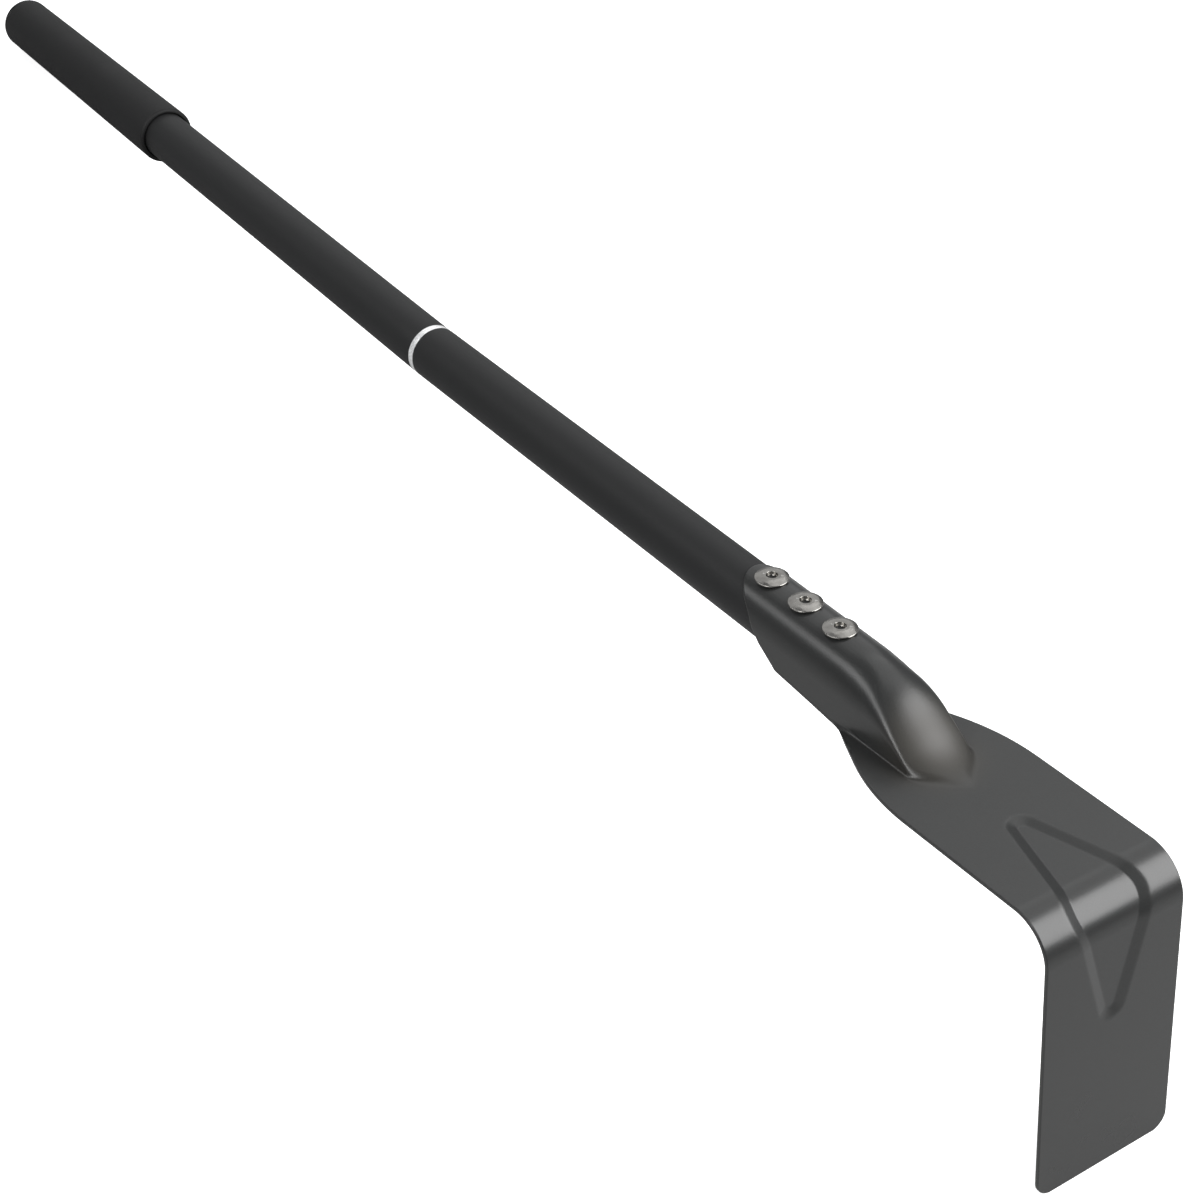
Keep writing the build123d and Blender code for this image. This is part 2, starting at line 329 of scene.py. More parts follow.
def spreadKnots(knots):
    # places along the section, each part with its own number of steps
    spread = [0.0]
    for low, high, count in zip(knots, knots[1:], gridCounts.values()):
        spread += [low + (high - low) * step / count for step in range(1, count + 1)]
    return np.array(spread)


def alongPath(path, places):
    lengths = np.concatenate([[0], np.cumsum(np.linalg.norm(np.diff(path, axis=0), axis=1))])
    return np.column_stack([np.interp(places, lengths, path[:, k]) for k in (0, 1)])


def recessDepth(x, run):
    # depth of the pressed diamond; run is the way along the sheet from the middle of the bend
    taper = math.atan(recess["taper"])
    half = recess["halfWidth"] - recess["taper"] * math.hypot(run, recess["middleSoft"])
    tip = (recess["halfWidth"] - recess["tipRound"] / math.cos(taper)) / recess["taper"]
    out = (abs(x) - half) * math.cos(taper)
    past = abs(run) - tip
    if past * math.cos(taper) > abs(x) * math.sin(taper):
        out = math.hypot(past, x) - recess["tipRound"]
    slope = recess["depth"] * (1 - out / recess["wallWidth"])
    lifted = recess["outerSoft"] * np.logaddexp(0, slope / recess["outerSoft"])
    return lifted - recess["innerSoft"] * np.logaddexp(0, (lifted - recess["depth"]) / recess["innerSoft"])


def flatRow(y, z, outY, outZ, run, width):
    # one row of the blade, bend or plate: points straight across, pressed in by the recess
    places = spreadKnots(flatKnots + [width])
    depths = np.array([recessDepth(x, run) for x in places])
    return np.column_stack([places, y - depths * outY, z - depths * outZ])


def spanPlaces(start, spans):
    # evenly spaced places over each span, without the first; a span is (end, count)
    places = []
    for end, count in spans:
        places += list(np.linspace(start, end, count))[1:]
        start = end
    return places


def headRows():
    rows = []
    lean = math.radians(head["lean"])
    down, out = (-math.sin(lean), -math.cos(lean)), (-math.cos(lean), math.sin(lean))
    halfArc = head["bendRadius"] * bendTurn / 2
    bladeFlat = head["drop"] - head["cornerRadius"]
    for step in range(headMesh["cornerRows"], -1, -1):  # rounded lower corners
        angle = math.pi / 2 * step / headMesh["cornerRows"]
        drop = bladeFlat + head["cornerRadius"] * math.sin(angle)
        width = head["halfWidth"] - head["cornerRadius"] * (1 - math.cos(angle))
        rows.append(flatRow(down[0] * drop, down[1] * drop, *out, -halfArc - drop + bendTangent, width))
    reach = headMesh["recessReach"] + bendTangent - halfArc
    bladeSpans = [(reach, headMesh["bladeRows"]), (bendTangent, headMesh["recessRows"])]
    for drop in spanPlaces(bladeFlat, bladeSpans)[:-1]:
        run = -halfArc - drop + bendTangent
        rows.append(flatRow(down[0] * drop, down[1] * drop, *out, run, head["halfWidth"]))
    for step in range(headMesh["bendRows"] + 1):
        turn = bendTurn * (1 - step / headMesh["bendRows"])
        oy, oz = -math.sin(turn), math.cos(turn)
        y, z = bendTangent + head["bendRadius"] * oy, -head["bendRadius"] + head["bendRadius"] * oz
        rows.append(flatRow(y, z, oy, oz, head["bendRadius"] * (bendTurn / 2 - turn), head["halfWidth"]))
    plate = spanPlaces(bendTangent, headMesh["plateSpans"])
    for y in plate[:-1]:
        rows.append(flatRow(y, 0, 0, 1, halfArc + y - bendTangent, halfWidthAt(y)))
    for y in plate[-1:] + spanPlaces(plate[-1], headMesh["noseSpans"]):
        path, knots = noseSection(y)
        points = alongPath(path, spreadKnots(knots))
        rows.append(np.column_stack([points[:, 0], np.full(len(points), y), points[:, 1]]))
    return rows


def socketRows():
    # the wrap round the tube; its rows lean until the last one lies on the mouth
    rows, steps, arcCount = [], headMesh["socketRows"], gridCounts["crown"] + gridCounts["corner"]
    lower, mouth = mouthLine[:mouthCorner + 1], mouthLine[mouthCorner:]
    base, knots = noseSection(head["wallStart"])
    turned = spreadKnots(knots)
    baseTop, baseLow, neck = topAt(head["wallStart"]), -head["sheet"], head["neckHalf"]
    arcEnd = knots[2]
    for step in range(1, steps + 1):
        t = step / steps
        lowY = lower[0][0] + (lower[-1][0] - lower[0][0]) * t
        lowZ = float(np.interp(lowY, lower[:, 0], lower[:, 1]))
        wallEnd = turned[-1]
        spread = np.linspace(0, 1, len(turned) - arcCount)
        even = arcEnd + (wallEnd - arcEnd) * spread
        places = turned.copy()
        blend = float(smoothStep(t, 0, headMesh["mouthBlend"]))
        places[arcCount:] = turned[arcCount:] * (1 - blend) + even * blend
        points = alongPath(base, places)
        crownShare = np.clip((points[:, 1] - baseLow) / (baseTop - baseLow), 0, 1)
        mouthZ = mouth[0][1] + (mouth[-1][1] - mouth[0][1]) * crownShare
        mouthY = np.interp(mouthZ, mouth[:, 1], mouth[:, 0])
        y = lower[0][0] + (mouthY - lower[0][0]) * t
        rise = (y - head["wallStart"]) * tubeSlope
        share = np.clip((baseTop - neck - points[:, 1]) / (baseTop - neck - baseLow), 0, 1)
        z = points[:, 1] + rise * (1 - share) + (lowZ - baseLow) * share
        rows.append(np.column_stack([points[:, 0], y, z]))
    return rows


def gridNormals(grid):
    across, up = np.gradient(grid, axis=1), np.gradient(grid, axis=0)
    normals = np.cross(across, up)
    return normals / np.maximum(np.linalg.norm(normals, axis=2, keepdims=True), 1e-9)


def makeHead():
    half = headRows() + socketRows()
    grid = np.array([np.vstack([row[:0:-1] * (-1, 1, 1), row]) for row in half])
    rows, columns = grid.shape[:2]
    normals = gridNormals(grid)
    loop = [(0, c) for c in range(columns)] + [(r, columns - 1) for r in range(1, rows)]
    loop += [(rows - 1, c) for c in range(columns - 2, -1, -1)] + [(r, 0) for r in range(rows - 2, 0, -1)]
    edge = np.array([grid[r, c] for r, c in loop])
    edgeNormal = np.array([normals[r, c] for r, c in loop])
    runDir = np.roll(edge, -1, axis=0) - np.roll(edge, 1, axis=0)
    outDir = np.cross(runDir, edgeNormal)
    outDir /= np.linalg.norm(outDir, axis=1, keepdims=True)
    soft, sheet = head["edgeRound"], head["sheet"]
    for (r, c), inset in zip(loop, edge - outDir * soft):
        grid[r, c] = inset
    inner = grid - normals * sheet
    rings = []
    for angle in (30, 60, 90):
        a = math.radians(angle)
        rings.append((soft * (math.sin(a) - 1), soft * (1 - math.cos(a))))
    rings += [(out, sheet - depth) for out, depth in reversed(rings)]
    vertices = [grid.reshape(-1, 3), inner.reshape(-1, 3)]
    vertices += [edge + outDir * out - edgeNormal * depth for out, depth in rings]
    faces = []
    count = rows * columns
    for r in range(rows - 1):
        for c in range(columns - 1):
            a, b = r * columns + c, (r + 1) * columns + c
            faces.append((a, a + 1, b + 1, b))
            faces.append((count + a, count + b, count + b + 1, count + a + 1))
    size = len(loop)
    outerLoop = [r * columns + c for r, c in loop]
    loops = [outerLoop]
    loops += [list(range(2 * count + k * size, 2 * count + (k + 1) * size)) for k in range(len(rings))]
    loops.append([count + index for index in outerLoop])
    for upper, lower in zip(loops, loops[1:]):
        for k in range(size):
            after = (k + 1) % size
            faces.append((upper[k], lower[k], lower[after], upper[after]))
    points = toRow(np.vstack(vertices))
    points[:, 2] = np.maximum(points[:, 2], 0)  # blade edge ground flat where it rests
    piece = fixNormals(addMesh("pressedHead", points, faces))
    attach(piece, "root")
    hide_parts("hoe_head")
    return piece


def placeOn(base, axis, up):
    # turns a profile's own frame so that its axis lies along the tool
    side = axis.cross(up)
    turn = Matrix((side, up, axis)).transposed().to_4x4()
    return Matrix.Translation(base) @ turn


def turnedPiece(name, profile, place, segments=128, closed=True):
    # profile is a list of (radius, station) in mm, turned round the axis
    vertices, faces = [], []
    for k in range(segments):
        a = 2 * math.pi * k / segments
        for radius, station in profile:
            spot = Vector((radius * math.cos(a), radius * math.sin(a), station)) * mm
            vertices.append(place @ spot)
    count = len(profile)
    for k in range(segments):
        here, there = k * count, (k + 1) % segments * count
        for j in range(count if closed else count - 1):
            after = (j + 1) % count
            faces.append((here + j, here + after, there + after, there + j))
    return fixNormals(addMesh(name, vertices, faces))


def closedProfile(points, radii, arcSteps=6):
    # rounds every corner of a closed outline; the radii match the points
    looped = [points[-1]] + list(points) + [points[0]]
    path = roundedLine(looped, radii, arcSteps)
    return [tuple(p) for p in path[1:-1]]


def splitLong(profile, longest):
    # adds points on long runs, so that the mesh stays even along a tube
    split = []
    for a, b in zip(profile, profile[1:] + profile[:1]):
        split.append(a)
        parts = max(int(math.hypot(b[0] - a[0], b[1] - a[1]) / longest), 1)
        for k in range(1, parts):
            split.append((a[0] + (b[0] - a[0]) * k / parts, a[1] + (b[1] - a[1]) * k / parts))
    return split


ring = {"width": 4.5, "edge": 0.25, "shy": 0.05}
hiddenEdge = 0.1
tiny = 1e-4  # radius that stands for the middle of a turned piece


def makeTubes():
    outer, inner, half = shaft["radius"], shaft["radius"] - shaft["wall"], ring["width"] / 2
    soft = shaft["endRound"]
    lowStart, lowEnd = shaft["foot"], shaft["jointStation"] - half
    outline = [(inner, lowStart), (outer, lowStart), (outer, lowEnd), (inner, lowEnd)]
    profile = splitLong(closedProfile(outline, [soft, soft, ring["edge"], hiddenEdge]), 20)
    lower = turnedPiece("lowerTube", profile, placeOn(axisOrigin, lowerAxis, lowerUp))
    outline = [(inner, half), (outer, half), (outer, shaft["upperLength"]), (inner, shaft["upperLength"])]
    profile = splitLong(closedProfile(outline, [hiddenEdge, ring["edge"], soft, soft]), 20)
    upper = turnedPiece("upperTube", profile, placeOn(jointPoint, upperAxis, upperUp))
    for piece, node in ((lower, "lower_shaft"), (upper, "upper_shaft")):
        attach(piece, "root")
        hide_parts(node)
    return lower, upper


def makeRing():
    outer, inner, half = shaft["radius"], shaft["radius"] - shaft["wall"], ring["width"] / 2
    shown = outer - ring["shy"]
    outline = [(inner, -half), (shown, -half), (shown, half), (inner, half)]
    profile = closedProfile(outline, [hiddenEdge, ring["edge"], ring["edge"], hiddenEdge])
    middle = (lowerAxis + upperAxis).normalized()
    piece = turnedPiece("jointBand", profile, placeOn(jointPoint, middle, (lowerUp + upperUp).normalized()))
    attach(piece, "root")
    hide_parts("joint_ring")
    return piece


grip = {
    "start": 345.0,
    "fit": 0.1,
    "seamGap": 0.05,
    "lipDepth": 1.0,
    "lipRounds": (0.3, 0.4),
    "plugRounds": (1.5, 0.2),
    "frontRadius": 18.3,
    "endRadius": 17.3,
    "frontRound": 1.9,
    "lipStep": 0.9,
    "capFlange": 5.0,
    "capRound": 3.5,
    "seam": 0.35,
    "plug": 20.0,
}


def makeGrip():
    bore, front, end = shaft["radius"] + grip["fit"], grip["frontRadius"], grip["endRadius"]
    start, stop = grip["start"], shaft["upperLength"] - grip["seamGap"]
    outline = [(bore, start + grip["lipDepth"]), (bore + grip["lipStep"], start), (front, start)]
    outline += [(end, stop), (bore, stop)]
    profile = closedProfile(outline, [*grip["lipRounds"], grip["frontRound"], grip["seam"], hiddenEdge], 8)
    piece = turnedPiece("gripTube", splitLong(profile, 12), placeOn(jointPoint, upperAxis, upperUp), 144)
    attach(piece, "root")
    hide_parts("grip_sleeve")
    return piece


def makeCap():
    plug, rim, stop = shaft["radius"] - shaft["wall"] - grip["fit"], grip["endRadius"], shaft["upperLength"]
    end = stop + grip["capFlange"]
    path = roundedLine([(0, stop - grip["plug"]), (plug, stop - grip["plug"]), (plug, stop), (rim, stop),
                        (rim, end), (0, end)], [*grip["plugRounds"], grip["seam"], grip["capRound"]], 10)
    face = [(r, end) for r in (9.0, 4.0)]  # rings across the flat end
    profile = [(max(r, tiny), z) for r, z in list(path[:-1]) + face] + [(tiny, end)]
    piece = turnedPiece("gripCap", profile, placeOn(jointPoint, upperAxis, upperUp), 144, closed=False)
    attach(piece, "root")
    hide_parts("grip_end_cap")
    return piece


rivet = {
    "flange": 8.25,
    "edge": 0.75,
    "crown": 1.9,
    "knee": (6.2, 0.42),
    "collar": (4.3, 0.06),
    "mouth": 2.45,
    "mouthLip": 0.35,
    "mouthTaper": 0.15,
    "floor": 0.4,
    "rounds": [0.15, 0.25, 0.42, 7.0, 2.0, 0.25],
    "shank": 3.2,
    "shankLength": 5,
    "hollow": 3.3,
}
stub = {
    "radius": 1.75,
    "foot": 0.6,
    "rim": 0.35,
    "peak": (0.7, 0.55),
    "middle": 0.1,
    "rounds": [0.3, 0.2],
    "lean": 0.16,
    "torn": 0.06,
    "teeth": 9,
    "seed": 40,
}


def makeRivet(number):
    seat, top = shaft["seat"], shaft["seat"] + rivet["crown"]
    hole = top - rivet["hollow"]
    station = shaft["firstRivet"] + (number - 1) * shaft["rivetPitch"]
    base = axisOrigin + lowerAxis * station * mm
    place = placeOn(base, lowerUp, -lowerAxis)
    flange, shank = rivet["flange"], rivet["shank"]
    knee, collar = rivet["knee"], rivet["collar"]
    body = roundedLine([(shank, seat - rivet["shankLength"]), (shank, seat), (flange, seat + 0.02),
                        (flange, seat + rivet["edge"]), (knee[0], top - knee[1]),
                        (collar[0], top - collar[1]), (rivet["mouth"] + rivet["mouthLip"], top),
                        (rivet["mouth"] - rivet["mouthTaper"], hole - rivet["floor"])], rivet["rounds"], 8)
    outline = [tuple(p) for p in body] + [(tiny, hole - rivet["floor"])]
    piece = turnedPiece(f"rivetHead{number}", outline, place, 96, closed=False)
    peak = stub["peak"]
    face = roundedLine([(stub["radius"], hole - stub["foot"]), (stub["radius"], hole + stub["rim"]),
                        (peak[0], hole + peak[1]), (tiny, hole + stub["middle"])], stub["rounds"], 6)
    pin = turnedPiece(f"rivetStub{number}", [tuple(p) for p in face], place, 48, closed=False)
    roughenStub(pin, place, number)
    for thing, node, slot in ((piece, "rivet_body", "rivet_steel"), (pin, "rivet_mandrel", "mandrel_steel")):
        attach(thing, "root")
        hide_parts(f"{node}_{number}")
    return piece, pin


def roughenStub(pin, place, number):
    # the stub snapped off, so its face is torn and leans a little
    rng = np.random.default_rng(stub["seed"] + number)
    lean = rng.uniform(-stub["lean"], stub["lean"], 2)
    inverse = place.inverted()
    for vertex in pin.data.vertices:
        spot = inverse @ vertex.co
        torn = stub["torn"] * mm * math.sin(stub["teeth"] * math.atan2(spot.y, spot.x) + number)
        if spot.z > (shaft["seat"] + rivet["crown"] - rivet["hollow"]) * mm:
            spot.z += spot.x * lean[0] + spot.y * lean[1] + torn
        vertex.co = place @ spot


def newGroup(name, inputs, outputs):
    group = bpy.data.node_groups.new(name, "ShaderNodeTree")
    for label, value in inputs:
        socket = group.interface.new_socket(name=label, in_out="INPUT", socket_type="NodeSocketFloat")
        socket.default_value = value
    for label in outputs:
        group.interface.new_socket(name=label, in_out="OUTPUT", socket_type="NodeSocketFloat")
    return group, group.nodes.new("NodeGroupInput"), group.nodes.new("NodeGroupOutput")


def mathNode(tree, operation, a, b=None, clamp=False):
    node = tree.nodes.new("ShaderNodeMath")
    node.operation, node.use_clamp = operation, clamp
    for socket, value in zip(node.inputs, (a, b)):
        if value is None:
            continue
        if isinstance(value, (int, float)):
            socket.default_value = value
        else:
            tree.links.new(value, socket)
    return node.outputs[0]


def noiseNode(tree, vector, scale, detail=3.0, roughness=0.55):
    node = tree.nodes.new("ShaderNodeTexNoise")
    node.inputs["Detail"].default_value = detail
    node.inputs["Roughness"].default_value = roughness
    if isinstance(scale, (int, float)):
        node.inputs["Scale"].default_value = scale
    else:
        tree.links.new(scale, node.inputs["Scale"])
    tree.links.new(vector, node.inputs["Vector"])
    return node.outputs["Fac"]


def fineGrainGroup():
    # powder or moulded grain: small bumps and a soft cloud of tone
    group, source, sink = newGroup("fineGrain", [("Size", 900.0), ("Cloud Size", 18.0)], ["Height", "Cloud"])
    place = group.nodes.new("ShaderNodeTexCoord").outputs["Object"]
    small = noiseNode(group, place, source.outputs["Size"], 2.0, 0.6)
    cloud = noiseNode(group, place, source.outputs["Cloud Size"], 3.0, 0.5)
    group.links.new(small, sink.inputs["Height"])
    group.links.new(cloud, sink.inputs["Cloud"])
    return group


def edgeHighlightGroup():
    # painted highlight: bright where the surface turns sharply outwards, broken up by noise
    group, source, sink = newGroup("edgeHighlight", [("Start", 0.53), ("Break Size", 260.0)], ["Mask"])
    point = group.nodes.new("ShaderNodeNewGeometry").outputs["Pointiness"]
    place = group.nodes.new("ShaderNodeTexCoord").outputs["Object"]
    broken = noiseNode(group, place, source.outputs["Break Size"], 4.0)
    lifted = mathNode(group, "SUBTRACT", point, source.outputs["Start"])
    steep = mathNode(group, "MULTIPLY", lifted, 14.0, clamp=True)
    group.links.new(mathNode(group, "MULTIPLY", steep, broken, clamp=True), sink.inputs["Mask"])
    return group


def drawnLinesGroup():
    # fine lines along the tool, left by drawing or polishing
    group, source, sink = newGroup("drawnLines", [("Across", 1500.0), ("Along", 6.0)], ["Height"])
    place = group.nodes.new("ShaderNodeTexCoord").outputs["Object"]
    split = group.nodes.new("ShaderNodeSeparateXYZ")
    join = group.nodes.new("ShaderNodeCombineXYZ")
    group.links.new(place, split.inputs[0])
    for axis, scale in (("X", "Across"), ("Y", "Along"), ("Z", "Across")):
        stretched = mathNode(group, "MULTIPLY", split.outputs[axis], source.outputs[scale])
        group.links.new(stretched, join.inputs[axis])
    group.links.new(noiseNode(group, join.outputs[0], 1.0, 3.0), sink.inputs["Height"])
    return group


print("building shared finishes")
fineGrain, edgeHighlight, drawnLines = fineGrainGroup(), edgeHighlightGroup(), drawnLinesGroup()


def startMaterial(name, settings):
    # the shader's own settings, and the grain that every finish shares
    material = bpy.data.materials.new(name)
    material.use_nodes = True
    tree = material.node_tree
    shader = tree.nodes["Principled BSDF"]
    for socket, value in settings["shader"].items():
        shader.inputs[socket].default_value = value
    grain = placeGroup(tree, fineGrain, Size=settings["grain"], Cloud_Size=settings["cloud"])
    return material, tree, shader, grain.outputs


def placeGroup(tree, group, **values):
    node = tree.nodes.new("ShaderNodeGroup")
    node.node_tree = group
    for label, value in values.items():
        node.inputs[label.replace("_", " ")].default_value = value
    return node


def mixColour(tree, factor, first, second):
    node = tree.nodes.new("ShaderNodeMix")
    node.data_type = "RGBA"
    tree.links.new(factor, node.inputs["Factor"])
    for socket, colour in zip((node.inputs["A"], node.inputs["B"]), (first, second)):
        if isinstance(colour, tuple):
            socket.default_value = (*colour, 1)
        else:
            tree.links.new(colour, socket)
    return node.outputs["Result"]


def mapRange(tree, value, low, high):
    # spreads the middle half of a noise over low to high
    node = tree.nodes.new("ShaderNodeMapRange")
    for label, limit in zip(("From Min", "From Max", "To Min", "To Max"), (0.25, 0.75, low, high)):
        node.inputs[label].default_value = limit
    tree.links.new(value, node.inputs["Value"])
    return node.outputs["Result"]


def fadeFrom(tree, centre, fade):
    # smooth falloff with distance from a place; fade is (near, far, value near, value far)
    reach = tree.nodes.new("ShaderNodeVectorMath")
    reach.operation = "DISTANCE"
    reach.inputs[1].default_value = centre
    tree.links.new(tree.nodes.new("ShaderNodeTexCoord").outputs["Object"], reach.inputs[0])
    fall = tree.nodes.new("ShaderNodeMapRange")
    fall.interpolation_type = "SMOOTHSTEP"
    for label, value in zip(("From Min", "From Max", "To Min", "To Max"), fade):
        fall.inputs[label].default_value = value
    tree.links.new(reach.outputs["Value"], fall.inputs["Value"])
    return fall.outputs["Result"]


def addBump(tree, shader, height, bump):
    # bump is (strength, distance)
    node = tree.nodes.new("ShaderNodeBump")
    node.inputs["Strength"].default_value, node.inputs["Distance"].default_value = bump
    tree.links.new(height, node.inputs["Height"])
    tree.links.new(node.outputs["Normal"], shader.inputs["Normal"])


def plainFinish(name, settings):
    # a finish whose tone follows the cloud, and its roughness the cloud or the grain
    material, tree, shader, grain = startMaterial(name, settings)
    tree.links.new(mixColour(tree, grain["Cloud"], *settings["tones"]), shader.inputs["Base Color"])
    rough = mapRange(tree, grain[settings.get("roughBy", "Cloud")], *settings["rough"])
    tree.links.new(rough, shader.inputs["Roughness"])
    addBump(tree, shader, grain["Height"], settings["bump"])
    return material


headCoat = {
    "shader": {"Metallic": 0.0, "IOR": 1.5, "Specular IOR Level": 0.5},
    "grain": 1500.0,
    "cloud": 22.0,
    "tones": ((0.013, 0.0135, 0.0135), (0.018, 0.0185, 0.018)),
    "speck": (0.021, 0.0215, 0.021),
    # the next two entries set a painted highlight along sharp outward edges
    "edgeHighlightTone": (0.12, 0.12, 0.12),
    "edgeLight": {"Start": 0.55, "Break_Size": 300.0},
    "rough": (0.27, 0.31),
    "bump": (0.10, 0.0002),
    # painted warm sheen over the nose: its place, fade, tone and added roughness
    "noseSheenPlace": (0, 112, 10),
    "noseSheenFade": (0.006, 0.032, 1.0, 0.0),
    "noseSheenTone": (0.030, 0.027, 0.022),
    "noseSheenRough": 0.13,
}


def coatedSteel():
    material, tree, shader, grain = startMaterial("headCoating", headCoat)
    edgeLight = placeGroup(tree, edgeHighlight, **headCoat["edgeLight"])
    tone = mixColour(tree, grain["Cloud"], *headCoat["tones"])
    tone = mixColour(tree, mapRange(tree, grain["Height"], 0.0, 1.0), tone, headCoat["speck"])
    # painted highlight: the coat is lightened along its sharp outward edges
    tone = mixColour(tree, edgeLight.outputs["Mask"], tone, headCoat["edgeHighlightTone"])
    # the nose gets a warm painted sheen in its colour, and a duller roughness over the same patch
    sheenPatch = fadeFrom(tree, toRow([headCoat["noseSheenPlace"]])[0], headCoat["noseSheenFade"])
    tone = mixColour(tree, sheenPatch, tone, headCoat["noseSheenTone"])
    tree.links.new(tone, shader.inputs["Base Color"])
    duller = mathNode(tree, "MULTIPLY", sheenPatch, headCoat["noseSheenRough"])
    rough = mathNode(tree, "ADD", mapRange(tree, grain["Cloud"], *headCoat["rough"]), duller)
    tree.links.new(rough, shader.inputs["Roughness"])
    addBump(tree, shader, grain["Height"], headCoat["bump"])
    return material


tubeCoat = {
    "shader": {"Metallic": 0.0, "IOR": 1.45, "Specular IOR Level": 0.3},
    "grain": 1300.0,
    "cloud": 14.0,
    "lines": {"Across": 1400.0, "Along": 7.0},
    "tones": ((0.010, 0.0102, 0.0105), (0.014, 0.0142, 0.0145)),
    "lined": (0.0155, 0.0158, 0.0162),
    "rough": (0.50, 0.58),
    "bump": (0.12, 0.0002),
}


def coatedTube():
    material, tree, shader, grain = startMaterial("shaftCoating", tubeCoat)
    lines = placeGroup(tree, drawnLines, **tubeCoat["lines"]).outputs["Height"]
    tone = mixColour(tree, grain["Cloud"], *tubeCoat["tones"])
    tree.links.new(mixColour(tree, lines, tone, tubeCoat["lined"]), shader.inputs["Base Color"])
    tree.links.new(mapRange(tree, lines, *tubeCoat["rough"]), shader.inputs["Roughness"])
    addBump(tree, shader, grain["Height"], tubeCoat["bump"])
    return material


bandMetal = {
    "shader": {"Metallic": 0.55},
    "grain": 1200.0,
    "cloud": 60.0,
    "lines": {"Across": 900.0, "Along": 2500.0},
    "tones": ((0.88, 0.885, 0.89), (0.95, 0.95, 0.95)),
    "rough": (0.22, 0.34),
    "bump": (0.05, 0.0001),
}


def brightBand():
    material, tree, shader, grain = startMaterial("ringMetal", bandMetal)
    lines = placeGroup(tree, drawnLines, **bandMetal["lines"]).outputs["Height"]
    tree.links.new(mixColour(tree, grain["Cloud"], *bandMetal["tones"]), shader.inputs["Base Color"])
    tree.links.new(mapRange(tree, lines, *bandMetal["rough"]), shader.inputs["Roughness"])
    addBump(tree, shader, lines, bandMetal["bump"])
    return material


rivetMetal = {
    "shader": {"Metallic": 1.0},
    "grain": 700.0,
    "cloud": 260.0,
    "tones": ((0.15, 0.145, 0.136), (0.38, 0.37, 0.35)),
    # the next two entries set a painted highlight along the rivets' sharp rims
    "edgeHighlightTone": (0.75, 0.74, 0.72),
    "edgeLight": {"Start": 0.54, "Break_Size": 500.0},
    "rough": (0.16, 0.30),
    "bump": (0.22, 0.0003),
}


def rivetSteel():
    material, tree, shader, grain = startMaterial("rivetSteel", rivetMetal)
    edgeLight = placeGroup(tree, edgeHighlight, **rivetMetal["edgeLight"])
    tone = mixColour(tree, grain["Cloud"], *rivetMetal["tones"])
    # painted highlight: the rivets' sharp outward rims are made lighter
    tone = mixColour(tree, edgeLight.outputs["Mask"], tone, rivetMetal["edgeHighlightTone"])
    tree.links.new(tone, shader.inputs["Base Color"])
    tree.links.new(mapRange(tree, grain["Cloud"], *rivetMetal["rough"]), shader.inputs["Roughness"])
    addBump(tree, shader, grain["Height"], rivetMetal["bump"])
    return material


rubber = {
    "shader": {"Metallic": 0.0, "IOR": 1.45, "Specular IOR Level": 0.35},
    "grain": 1100.0,
    "cloud": 25.0,
    "tones": ((0.006, 0.0061, 0.0063), (0.009, 0.0091, 0.0093)),
    "rough": (0.58, 0.68),
    "bump": (0.25, 0.0003),
}
capMould = {
    "shader": {"Metallic": 0.0, "IOR": 1.5, "Specular IOR Level": 0.25},
    "grain": 900.0,
    "cloud": 40.0,
    "tones": ((0.0015, 0.0015, 0.0016), (0.0025, 0.0025, 0.0026)),
    "rough": (0.22, 0.30),
    "bump": (0.08, 0.0002),
}
# painted shade: the snapped stub's steel is made very dark so the rivet's hole reads dark
stubShadeMetal = {
    "shader": {"Metallic": 1.0},
    "grain": 2600.0,
    "cloud": 500.0,
    "tones": ((0.04, 0.039, 0.037), (0.16, 0.155, 0.15)),
    "roughBy": "Height",
    "rough": (0.3, 0.5),
    "bump": (0.5, 0.0004),
}
sleeveMould = {
    "shader": {"Metallic": 0.0, "IOR": 1.5, "Specular IOR Level": 0.5},
    "grain": 800.0,
    "cloud": 30.0,
    "tones": ((0.085, 0.085, 0.085), (0.115, 0.115, 0.113)),
    "rough": (0.45, 0.55),
    "bump": (0.1, 0.0002),
}


def dress(piece, material):
    piece.data.materials.clear()
    piece.data.materials.append(material)


print("building the head")
pressedHead = makeHead()
dress(pressedHead, coatedSteel())

print("building the shaft, ring and grip")
tubeFinish = coatedTube()
for tube in makeTubes():
    dress(tube, tubeFinish)
dress(makeRing(), brightBand())
dress(makeGrip(), plainFinish("gripRubber", rubber))
dress(makeCap(), plainFinish("capPlastic", capMould))
dress(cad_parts["joint_sleeve"], plainFinish("sleevePlastic", sleeveMould))

print("building the rivets")
rivetFinish, shadedStubFinish = rivetSteel(), plainFinish("mandrelSteel", stubShadeMetal)
for number in (1, 2, 3):
    rivetHead, rivetStub = makeRivet(number)
    dress(rivetHead, rivetFinish)
    dress(rivetStub, shadedStubFinish)


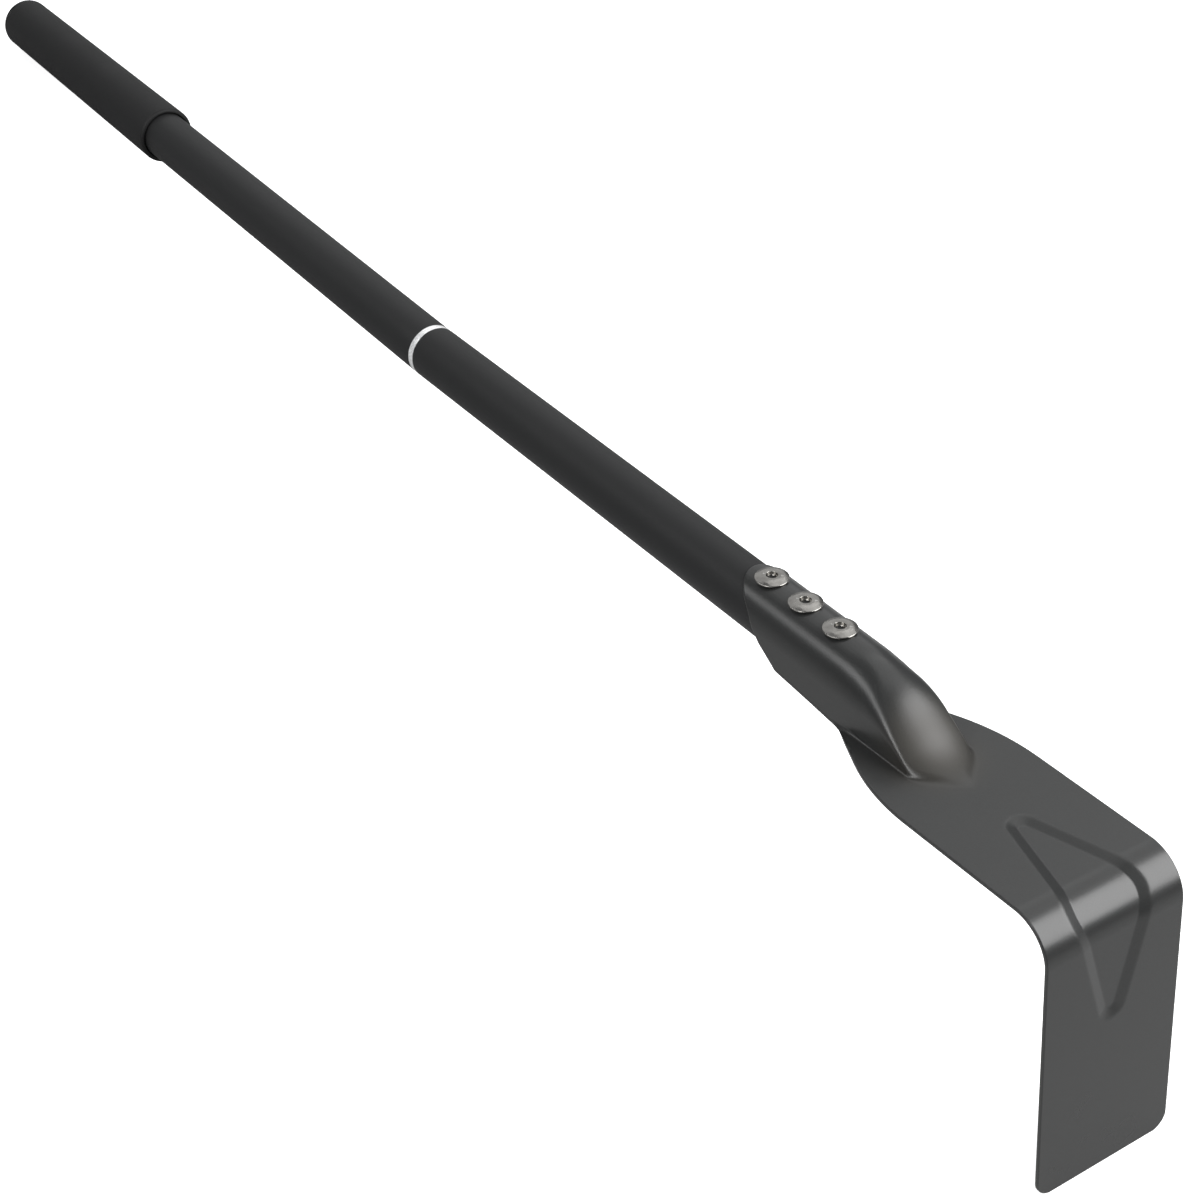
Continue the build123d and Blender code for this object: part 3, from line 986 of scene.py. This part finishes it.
studio = {
    "shader": {"Specular IOR Level": 0.0},
    "grain": 40.0,
    "cloud": 1.2,
    "rough": 0.95,
    "tones": ((0.82, 0.82, 0.82), (0.82 * 1.02, 0.82 * 1.02, 0.82 * 1.02)),
    "floorSize": 14.0,
    "floorSteps": 8,
    "mirrorShadeTone": (0.30, 0.30, 0.30),
    "worldTone": (0.9, 0.92, 0.95),
    "worldStrength": 0.25,
    "floorGlow": 0.6,
    "glowCentre": (0.1, -0.75, 0.0),
    "mirrorGlowFade": (0.2, 0.9, 0.33, 0.0),
}
lamps = {
    # name: place from the head, facing back along, long side along, long side, short side, power
    "keyBox": ((1.33, -1.03, 1.42), (0.56, -0.464, 0.687), (1, 0, 0), 1.5, 2.1, 75.0),
    "topPanel": ((0.95, 0.75, 1.80), (0.44, 0.35, 0.826), (1, 0, 0), 1.6, 1.4, 8.5),
    "backPanel": ((0.98, 2.07, 1.10), (0.334, 0.826, 0.44), (1, 0, 0), 2.5, 2.1, 11.3),
    "sideStrip": ((-1.7, -0.3, 1.0), (-0.85, -0.1, 0.5), (0, 1, 0), 0.9, 0.5, 12.0),
    "leftStrip": ((-1.46, 0.90, 1.30), (-0.746, 0.0, 0.666), (0, 1, 0), 3.1, 0.62, 24.0),
}


def makeStudio():
    size, steps = studio["floorSize"] / 2, studio["floorSteps"]
    spread = np.linspace(-size, size, steps + 1)
    vertices = [(x, y, 0) for y in spread for x in spread]
    faces = []
    for row in range(steps):
        for column in range(steps):
            first = row * (steps + 1) + column
            faces.append((first, first + 1, first + steps + 2, first + steps + 1))
    floor = addMesh("studioFloor", vertices, faces)
    material, tree, shader, grain = startMaterial("paleFloor", studio)
    tone = mixColour(tree, grain["Cloud"], *studio["tones"])
    shader.inputs["Roughness"].default_value = studio["rough"]
    shader.inputs["Emission Strength"].default_value = 1.0
    # the floor looks even and pale to the camera; in reflections it shows a darker painted shade and a
    # painted glow that fades away from the blade
    seen = tree.nodes.new("ShaderNodeLightPath").outputs["Is Camera Ray"]
    tree.links.new(mixColour(tree, seen, studio["mirrorShadeTone"], tone), shader.inputs["Base Color"])
    fall = fadeFrom(tree, studio["glowCentre"], studio["mirrorGlowFade"])
    glow = mathNode(tree, "MAXIMUM", mathNode(tree, "MULTIPLY", seen, studio["floorGlow"]), fall)
    combine = tree.nodes.new("ShaderNodeCombineColor")
    for channel in combine.inputs:
        tree.links.new(glow, channel)
    tree.links.new(combine.outputs[0], shader.inputs["Emission Color"])
    dress(floor, material)
    world = bpy.data.worlds.new("studioWorld")
    world.use_nodes = True
    background = world.node_tree.nodes["Background"]
    background.inputs["Color"].default_value = (*studio["worldTone"], 1)
    background.inputs["Strength"].default_value = studio["worldStrength"]
    bpy.context.scene.world = world


lampTarget = 60  # mm along the plate from the bend


def makeLamps():
    target = origin + onDir * lampTarget * mm
    for name, (place, facing, across, long, short, power) in lamps.items():
        light = bpy.data.lights.new(name, "AREA")
        light.shape, light.size, light.size_y, light.energy = "RECTANGLE", long, short, power
        lamp = bpy.data.objects.new(name, light)
        back = Vector(facing).normalized()
        side = (Vector(across) - back * back.dot(Vector(across))).normalized()
        turn = Matrix((side, back.cross(side), back)).transposed().to_4x4()
        lamp.matrix_world = Matrix.Translation(target + Vector(place)) @ turn
        bpy.context.scene.collection.objects.link(lamp)


view = {
    "place": (-0.5496, -0.9330, 0.8367),
    "right": (0.8325, -0.5520, 0.0463),
    "up": (0.3341, 0.5669, 0.7529),
    "lens": 71.2,
    "sensor": 36.0,
    "farthest": 30,
}


def makeCamera():
    data = bpy.data.cameras.new("camera")
    data.lens, data.sensor_width, data.sensor_fit = view["lens"], view["sensor"], "HORIZONTAL"
    data.clip_end = view["farthest"]
    camera = bpy.data.objects.new("camera", data)
    right, up = Vector(view["right"]).normalized(), Vector(view["up"])
    back = right.cross(up).normalized()
    up = back.cross(right)
    camera.matrix_world = Matrix.Translation(view["place"]) @ Matrix((right, up, back)).transposed().to_4x4()
    bpy.context.scene.collection.objects.link(camera)
    bpy.context.scene.camera = camera


print("setting up the studio")
makeStudio()
makeLamps()
makeCamera()
bpy.context.scene.view_settings.view_transform = "Standard"
